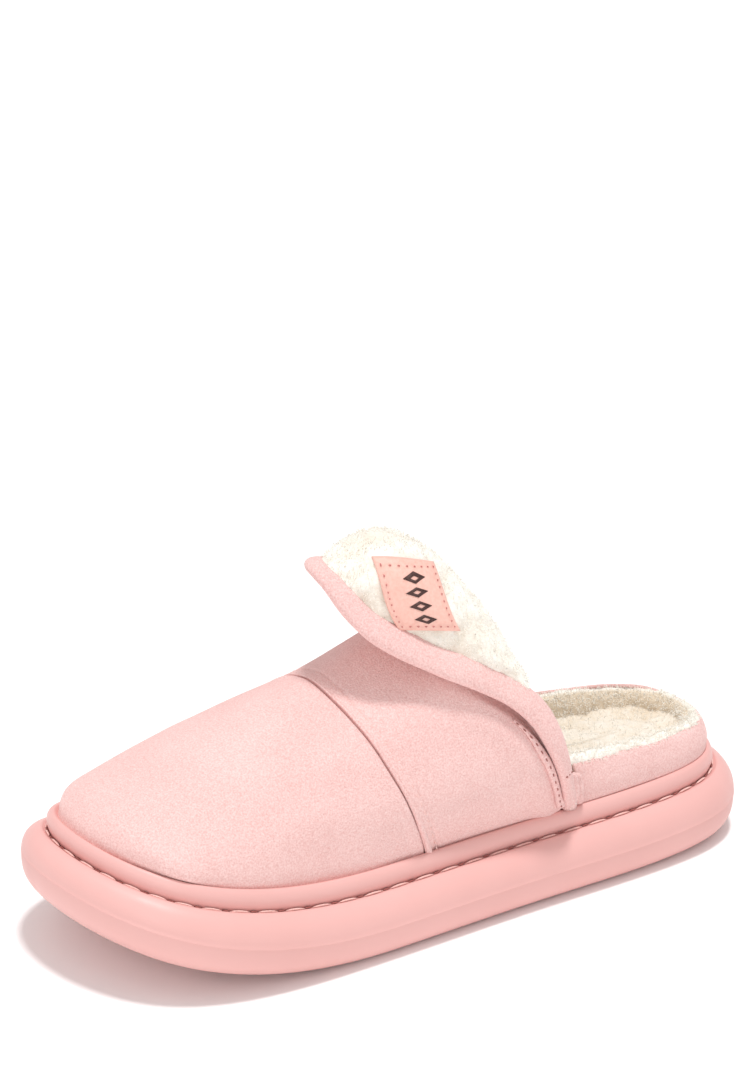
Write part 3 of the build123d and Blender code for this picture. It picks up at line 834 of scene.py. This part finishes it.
def heel_sweep(profile, steps, count, front, medial_rise=0.0):
    """Grid round the heel behind y = front, from (inset, share of collar height, lift)."""
    u = np.linspace(0, 1, 4001)
    u = u[contour_at(u, UPPER_INSET)[:, 1] > front]
    u = np.linspace(u[0], u[-1], count)
    back = (contour_at(u, UPPER_INSET)[:, 1] - COLLAR_FRONT_Y) / (COLLAR_BACK_Y - COLLAR_FRONT_Y)
    top = COLLAR_FRONT_Z + (COLLAR_BACK_Z - COLLAR_FRONT_Z) * np.clip(back, 0, 1)
    columns = []
    for inset, share, lift in through(profile, np.linspace(0, 1, steps)):
        xy = contour_at(u, inset)
        z = UPPER_FOOT + spring(xy[:, 1]) + (top - UPPER_FOOT) * share + lift
        z = z + medial_rise * ease(-xy[:, 0], 0, 22) * ease(share, 0.6, 1.05)
        columns.append(np.column_stack([xy, z]))
    return np.stack(columns, 1)


def make_heel_panel():
    profile = [(12.0, 0.0, 0), (11.3, 0.1, 0), (10.8, 0.25, 0), (10.7, 0.45, 0), (11.0, 0.65, 0),
               (11.6, 0.82, 0), (12.4, 0.99, 0), (13.5, 1.11, 0), (14.8, 1.15, 0)]
    grid = heel_sweep(profile, 40, 260, 51.0, medial_rise=1.5)
    n = normals_of(grid, 0, 10, axis=0)
    return suede_panel("heel_suede", soft_dimples(grid, n, 0.25), n)


def make_heel_pile():
    """Pile that rolls out over the collar and lines the heel down to the footbed."""
    profile = [(14.6, 1.0, 0), (14.2, 1.06, 0.4), (14.9, 1.1, 1.1), (16.3, 1.1, 1.5),
               (18.2, 1.05, 1.2), (19.6, 0.9, 0.6), (20.3, 0.7, 0), (20.6, 0.45, 0), (20.6, 0.2, 0)]
    back_profile = [(15.0, 0.9, 0), (15.2, 0.98, 0), (15.5, 1.0, 0), (15.9, 0.98, 0),
                    (16.2, 0.9, 0), (16.4, 0.8, 0), (16.5, 0.6, 0), (16.5, 0.4, 0), (16.5, 0.2, 0)]
    steps, count = 60, 420
    face = heel_sweep(profile, steps, count, HEEL_PILE_FRONT_Y, medial_rise=-0.4)
    back = heel_sweep(back_profile, steps, count, HEEL_PILE_FRONT_Y)
    n = normals_of(face, 200, 24, axis=2)
    # Painted shade: the pile darker down the heel's inner wall than on the rolled collar.
    extra_shade = 0.85 * ease(np.linspace(0, 1, steps), 0.4, 0.6)
    pile, outer = pile_shell("heel_pile", face, n, back, 23, extra_shade=extra_shade)
    return pile, fuzz("heel_fuzz", outer, n, 8000, 61)


# ---- cuff flap ----
# curves over the foot: lateral points, the crown, medial points
FREE_EDGE = (
    [(32.6, 45.0, 30.6), (39.5, 39.7, 39), (41.5, 35.3, 49), (41.5, 30.8, 58), (40.0, 26.0, 66),
     (37.5, 18.5, 73.5), (34, 8.6, 79.8), (30, -4, 86), (24, -16, 92.5), (18, -26, 99.5),
     (11, -32, 107.3), (4.5, -35.8, 115)],
    (-3.5, -36.6, 118.2),
    [(-12, -32.5, 116), (-20, -25, 109.5), (-27, -12, 100), (-32, 2, 88), (-36.5, 15, 76),
     (-40.5, 28, 61), (-41.5, 35.3, 49), (-39.5, 39.7, 39), (-32.6, 45.0, 30.6)])
RIDGE = (
    [(32.5, 49.5, 29), (39.5, 43, 51), (36.5, 36, 68), (31, 29, 80), (22, 24, 93), (11, 18, 107)],
    (-1.5, 11, 117),
    [(-13, 17, 108), (-23, 23, 95), (-31, 29, 81), (-36.5, 36, 68), (-39.5, 43, 51),
     (-32.5, 49.5, 29)])
BAND_THICKNESS, HEM_LIFT = 5.2, 0.8
RIDGE_SKEW = 0.85


def skewed(at, power):
    """Shares across the foot with their spacing changed up each side; 0.5 stays put."""
    climb = (1 - np.abs(2 * at - 1)) ** power
    return np.where(at < 0.5, climb / 2, 1 - climb / 2)


def two_sided(lateral, crown, medial, at, power=1.0):
    """Curve over the foot whose crown sits at 0.5; power skews the spacing up each side."""
    left = arc_knots(lateral + [crown]) * 0.5
    right = 0.5 + arc_knots([crown] + medial) * 0.5
    knots = np.concatenate([left, right[1:]])
    return spline(knots, lateral + [crown] + medial, skewed(at, power))


class Flap:
    """Curves of the cuff, each with one point for every step across the foot."""

    def __init__(self, count=241):
        self.s = np.linspace(0, 1, count)
        self.climb = 1 - np.abs(2 * self.s - 1)
        self.edge = two_sided(*FREE_EDGE, self.s)
        self.ridge = two_sided(*RIDGE, self.s, RIDGE_SKEW)
        grid, normal = upper(len(STATIONS) - 1.2, len(STATIONS) - 1, 12)
        across = skewed(self.s, RIDGE_SKEW)
        self.throat = sampled(across, ACROSS, grid[-1])
        self.throat_up = unit(sampled(across, ACROSS, normal[-1]))
        self.throat_back = unit(sampled(across, ACROSS, grid[-1] - grid[-3]))
        tangent = unit(np.gradient(self.edge, axis=0))
        inward = self.ridge - self.edge
        self.inward = unit(inward - tangent * (inward * tangent).sum(1)[:, None])
        self.over = unit(np.cross(self.inward, tangent))
        self.over *= np.sign((self.over * self.throat_up).sum(1))[:, None]
        self.band = 5.0 + 5.7 * ease(self.climb, 0.08, 0.4) - 3.6 * ease(self.climb, 0.7, 1)
        sewn = 1 - ease(self.climb, 0.30, 0.48)
        self.ridge += (self.beside(self.band - 1.5, 0) - self.ridge) * sewn[:, None]

    def beside(self, inward, over):
        """The free edge moved inward and over by distances."""
        return pushed(pushed(self.edge, self.inward, inward), self.over, over)

    def profile(self, knots, rows=90):
        """Grid through rows of points, one smooth curve for every step across."""
        at = np.linspace(0, 1, rows)
        return np.stack([through(column, at) for column in np.stack(knots, 1)], 1)

    def top(self):
        """Pile side, from inside the hem over the fold and down to the throat's lining."""
        crown = ease(self.climb, 0.25, 0.9)
        start = self.beside(self.band - 2.5, 1.6)
        middle = pushed((start + self.ridge) / 2, self.over, 1.2 + 8.5 * crown)
        inner = held_inside(self.throat - self.throat_up * LINING_IN, LINING_IN - 1.2)
        shoulder = pushed((self.ridge + inner) / 2, self.throat_back, 1.0 + 2.5 * crown)
        return self.profile([start, middle, self.ridge, shoulder, inner])

    def underside(self):
        """Suede side, from inside the hem back to the top of the instep panel."""
        crown = ease(self.climb, 0.6, 0.97)
        start = self.beside(4.0, -1.2)
        fold = pushed(self.throat, self.throat_up, 10.8 * crown - 3.2)
        fold = pushed(fold, self.throat_back, 0.5 * crown - 1.8)
        middle = pushed(start * 0.45 + fold * 0.55, self.over, 2.4 * crown - 1.2)
        end = pushed(self.throat, self.throat_up, 1.4 * crown - 3.6)
        return self.profile([start, middle, fold, end - self.throat_back * 0.8])


def make_flap():
    flap = Flap()
    top, under = flap.top(), flap.underside()
    n_top = normals_of(top, 10, top.shape[1] // 2, axis=2)
    n_under = normals_of(under)
    n_under *= np.sign((n_under * (top - under)).sum())
    inner = pushed(under, n_under, np.minimum(SUEDE, norms(top - under) * 0.35))
    suede = shell("flap_suede", under, inner, SUEDE_PINK)
    calm = ease(flap.climb, 0.0, 0.25) * 0.6 + 0.4
    pile, outer = pile_shell("flap_pile", top, n_top, under * 0.45 + top * 0.55, 24, calm)
    return flap, top, n_top, suede, pile, outer


def make_binding(flap, sides=26):
    """Soft rolled suede hem all along the cuff's free edge."""
    plump = BAND_THICKNESS / 2 * (0.55 + 0.45 * ease(flap.climb, 0.0, 0.25))
    reach = (1 - squared(np.cos(turn(sides)), 0.85)) * (flap.band / 2)[:, None]
    rise = squared(np.sin(turn(sides)), 0.9) * plump[:, None] + HEM_LIFT
    rings = pushed(flap.edge[:, None], flap.inward[:, None], reach)
    rings = pushed(rings, flap.over[:, None], rise)
    n = unit(rings - rings.mean(1, keepdims=True))
    rings = pushed(rings, n, noise(rings, 9.0, 51) * 0.25)
    return loop_sweep("flap_hem", rings, SUEDE_PINK, closed=False)


def make_hem_stitches(flap):
    line, keep = flap.beside(flap.band * 0.86, -1.15), flap.climb > 0.04
    return stitch_row("hem_stitches", line[keep], -flap.over[keep], *HEM_STITCH)


LABEL_CORNERS = [(7, -18.4, 123.6), (19.1, -14.4, 101.6), (26.4, 4.6, 100), (10.4, 3.2, 118.8)]


def make_label(top, n_top):
    """Leather patch on the pile, its dotted stitching and its row of open diamonds."""
    spots = [np.unravel_index(np.argmin(norms(top - corner)), top.shape[:2])
             for corner in LABEL_CORNERS]

    def mixed(values, i, j):
        """Values between four neighbours, at a broken row and column."""
        a, b = int(i), int(j)
        i, j = i - a, j - b
        return ((1 - i) * (1 - j) * values[a, b] + i * (1 - j) * values[a + 1, b]
                + (1 - i) * j * values[a, b + 1] + i * j * values[a + 1, b + 1])

    corners = np.array([[spots[0], spots[3]], [spots[1], spots[2]]], float)

    def place(a, b, lift):
        """Point of the label at shares a (long side) and b (short side)."""
        weights = np.array([[(1 - a) * (1 - b), (1 - a) * b], [a * (1 - b), a * b]])
        i, j = (corners * weights[..., None]).sum((0, 1))
        normal = unit(mixed(n_top, i, j))
        return mixed(top, i, j) + normal * lift, normal

    def puff(a, b):
        """Thickness: pressed in along the stitches, thinned at the very edge."""
        border = min(a, 1 - a, b, 1 - b)
        return 1.35 - 0.45 * bell(border, 0.035, 0.07) - 0.5 * exp(-border / 0.015)

    shares = np.linspace(0, 1, 28)
    face = np.array([[place(a, b, puff(a, b))[0] for b in shares] for a in shares])
    back = np.array([[place(a, b, 0.1)[0] for b in shares] for a in shares])
    patch = shell("label_leather", face, back, LABEL)
    near, far = 0.075, 0.925
    path = []
    for count, at in ((9, lambda s: (s, near)), (9, lambda s: (1 - s, far)),
                      (7, lambda s: (far, s)), (7, lambda s: (near, 1 - s))):
        path += [at(near + (far - near) * k / count) for k in range(count)]
    starts, ends, ups = [], [], []
    for a, b in path:
        da, db = (0.014, 0) if isclose(b, near) or isclose(b, far) else (0, 0.02)
        start, normal = place(a - da, b - db, 1.12)
        starts.append(start)
        ends.append(place(a + da, b + db, 1.12)[0])
        ups.append(normal)
    dots = capsules("label_stitches", starts, ends, ups, 0.26, 0.2, LABEL_THREAD, sides=6,
                    rounds=3)
    outer, inner, low, high = (0.075, 0.18), (0.03, 0.07), 1.3, 1.55
    vertices, faces = [], []
    for centre in (0.2, 0.4, 0.6, 0.8):
        faces += grid_faces(4, 4, True, True, len(vertices))
        for (a, b), lift in ((outer, low), (inner, low), (inner, high), (outer, high)):
            for da, db in ((-a, 0), (0, b), (a, 0), (0, -b)):
                vertices.append(place(centre + da, 0.5 + db, lift)[0])
    motif = mesh_object("label_diamonds", vertices, faces, PRINT)
    return patch, dots, motif, face[::2, ::2].reshape(-1, 3)


def squared(wave, power):
    """A sine or cosine flattened or filled out, for sections between round and square."""
    return np.sign(wave) * np.abs(wave) ** power


def upright_fold(name, side, y, half_width, top, thick, stand):
    """Flattened vertical roll standing on the welt strip at y."""
    sides, steps, foot = 18, 34, 29.6
    across = squared(np.cos(turn(sides)), 0.7) * half_width
    out = squared(np.sin(turn(sides)), 0.8) * thick
    rings = []
    for share in np.linspace(0, 1, steps):
        z = foot + (top - foot) * share
        back = y - 0.2 * (z - 29)
        rise = 0.3 + 0.7 * float(ease(share, 0.0, 0.5))
        wall = side_x(back, UPPER_INSET, side) + side * (
            stand * rise + 1.6 * sin(pi * min(share, 0.7)))
        end = sqrt(max(0.03, 1 - max(0, (share - 0.92) / 0.08) ** 2))
        rings.append(np.stack([wall + side * (out * end + 0.3), back + across * end,
                               np.full(sides, z)], 1))
    return loop_sweep(name, np.array(rings), SUEDE_PINK, closed=False)


def make_side_tab(flap, side, name):
    """Tab sewn over the end of the cuff, the strip behind it, and a bar of stitches on the hem."""
    tab = upright_fold("side_tab_fold_" + name, side, y=48.2, half_width=2.5, top=43.8,
                       thick=1.5, stand=2.2)
    strip = upright_fold("side_tab_strip_" + name, side, y=52.1, half_width=1.7, top=41.8,
                         thick=1.4, stand=0.2)
    on_side, bar_height = (0.5 - flap.s) * side > 0, 46.0
    j = np.argmin(np.where(on_side, np.abs(flap.edge[:, 2] - bar_height), 99))
    inward, over = flap.inward[j], flap.over[j]
    middle = flap.beside(flap.band / 2, BAND_THICKNESS * 0.36 + HEM_LIFT)[j]
    starts = [middle + inward * (1.3 * k - 0.45) for k in (-1, 0, 1)]
    ends = [start + inward * 0.9 for start in starts]
    # Dark stitches in the painted stitch shade.
    bar = capsules("side_tab_stitches_" + name, starts, ends, [over] * 3, 0.28, 0.25,
                   STITCH_SHADE, sides=6, rounds=3)
    return tab, strip, bar


# ---- assembly ----
SLIPPER, FLAP = "slipper", "flap"


def named(nodes):
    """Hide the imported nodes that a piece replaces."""
    if nodes:
        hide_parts(*nodes)


def fixed(piece, slot, *nodes):
    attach(piece, SLIPPER)
    named(nodes)


def bending(piece, slot, *nodes):
    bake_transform(piece)
    named(nodes)


def repaint(material, node):
    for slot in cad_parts[node].material_slots:
        slot.link = "OBJECT"
        slot.material = material


fixed(make_outsole(), "sole_foam", "outsole")
fixed(make_welt(), "suede", "welt_strip")
platform = make_layer("platform_core", inset=15.2, low=17.2, high=25.4, material=CORE)
fixed(platform, "foam_core", "platform")
board = make_layer("insole_board_sheet", inset=13.2, low=25.6, high=26.9, material=BOARD)
fixed(board, "board", "insole_board")
threads, holes = make_sole_stitching()
fixed(threads, "thread", "sole_stitching")
fixed(holes, "thread")
footbed, fibres = make_footbed()
fixed(footbed, "pile", "footbed_cover")
fixed(fibres, "pile")
fixed(make_toe_panel(), "suede", "toe_panel", "toe_padding")
flap, top, n_top, flap_suede, flap_pile, pile_top = make_flap()
instep, face, n = make_instep_panel(flap)
fixed(instep, "suede", "instep_panel", "instep_padding")
roll, stitches = make_seam_details()
fixed(roll, "suede", "seam_piping")
fixed(stitches, "thread", "seam_stitching")
fixed(make_lining("toe_pile", 1.0, SEAM_STATION, 90, 21), "pile", "toe_lining")
fixed(make_lining("instep_pile", SEAM_STATION, len(STATIONS) - 1, 110, 22), "pile",
      "instep_lining")
fixed(make_heel_panel(), "suede", "heel_panel")
heel_pile, fibres = make_heel_pile()
fixed(heel_pile, "pile", "heel_lining")
fixed(fibres, "pile")
for side, name in ((1, "left"), (-1, "right")):
    facing, stitches = make_hem_facing(flap, face, n, side, name)
    fixed(facing, "suede")
    fixed(stitches, "thread")
    tab, strip, bar = make_side_tab(flap, side, name)
    fixed(tab, "suede", "side_tab_" + name)
    fixed(strip, "suede")
    bending(bar, "thread")

bending(flap_suede, "suede", "flap_shell")
bending(flap_pile, "pile", "flap_lining")
bending(make_binding(flap), "suede", "flap_binding", "cuff_band_left", "cuff_band_right")
bending(make_hem_stitches(flap), "thread", "flap_binding_stitching")
patch, dots, motif, label_points = make_label(top, n_top)
bending(fuzz("flap_fuzz", pile_top, n_top, 7000, 62, label_points), "pile")
bending(patch, "label_leather", "label_patch")
bending(dots, "thread", "label_stitching")
bending(motif, "print", "label_motif")
repaint(CORE, "footbed_foam")
repaint(BOARD, "heel_counter")


# ---- floor, light and camera ----
def make_floor(reach=6000, height=-0.2):
    look = Look("floor_white", {"Base Color": (0.97, 0.97, 0.97, 1), "Roughness": 0.9})
    corners = [(x * reach, y * reach, height) for x, y in ((-1, -1), (1, -1), (1, 1), (-1, 1))]
    mesh_object("floor", corners, [(0, 1, 2, 3)], look.material, False)


def add_lamp(name, kind, towards, place=(0, 0, 0), **settings):
    """A lamp that shines back from the direction it stands in."""
    data = bpy.data.lights.new(name, kind)
    for key, value in settings.items():
        setattr(data, key, value)
    lamp = in_scene(name, data)
    lamp.location = place
    lamp.rotation_euler = (-Vector(towards)).to_track_quat("-Z", "Y").to_euler()


def make_world(strength):
    world = bpy.data.worlds.new("studio")
    world.use_nodes = True
    background = world.node_tree.nodes["Background"].inputs
    background["Color"].default_value = (1, 1, 1, 1)
    background["Strength"].default_value = strength
    bpy.context.scene.world = world


def make_camera():
    """Three-quarter view from the lateral toe, a little above, with a long lens."""
    azimuth, elevation, roll = radians(56.66), radians(21.04), radians(1.81)
    distance, aim = 1.3452, Vector((0, 0, 0.040))
    back = Vector((sin(azimuth) * cos(elevation),
                   -cos(azimuth) * cos(elevation), sin(elevation)))
    right = Vector((cos(azimuth), sin(azimuth), 0))
    up = back.cross(right)
    place = aim + back * distance - right * 0.007906 + up * 0.079472
    data = bpy.data.cameras.new("camera")
    data.sensor_width, data.lens, data.shift_x = 36.0, 133.1, -0.0078
    camera = in_scene("camera", data)
    turned = Matrix((right * cos(roll) + up * sin(roll),
                     up * cos(roll) - right * sin(roll), back)).transposed()
    camera.matrix_world = Matrix.Translation(place) @ turned.to_4x4()
    bpy.context.scene.camera = camera


make_floor()
make_world(0.65)
FILL_PLACE, FILL_TARGET = Vector((1.1, -1.3, 0.75)), Vector((0, 0, 0.05))
add_lamp("key", "SUN", (0.02, 0.03, 1.0), angle=0.15, energy=1.95)
add_lamp("fill", "AREA", FILL_PLACE - FILL_TARGET, FILL_PLACE, shape="DISK", size=1.2, energy=6)
make_camera()
bpy.context.scene.view_settings.view_transform = "Standard"
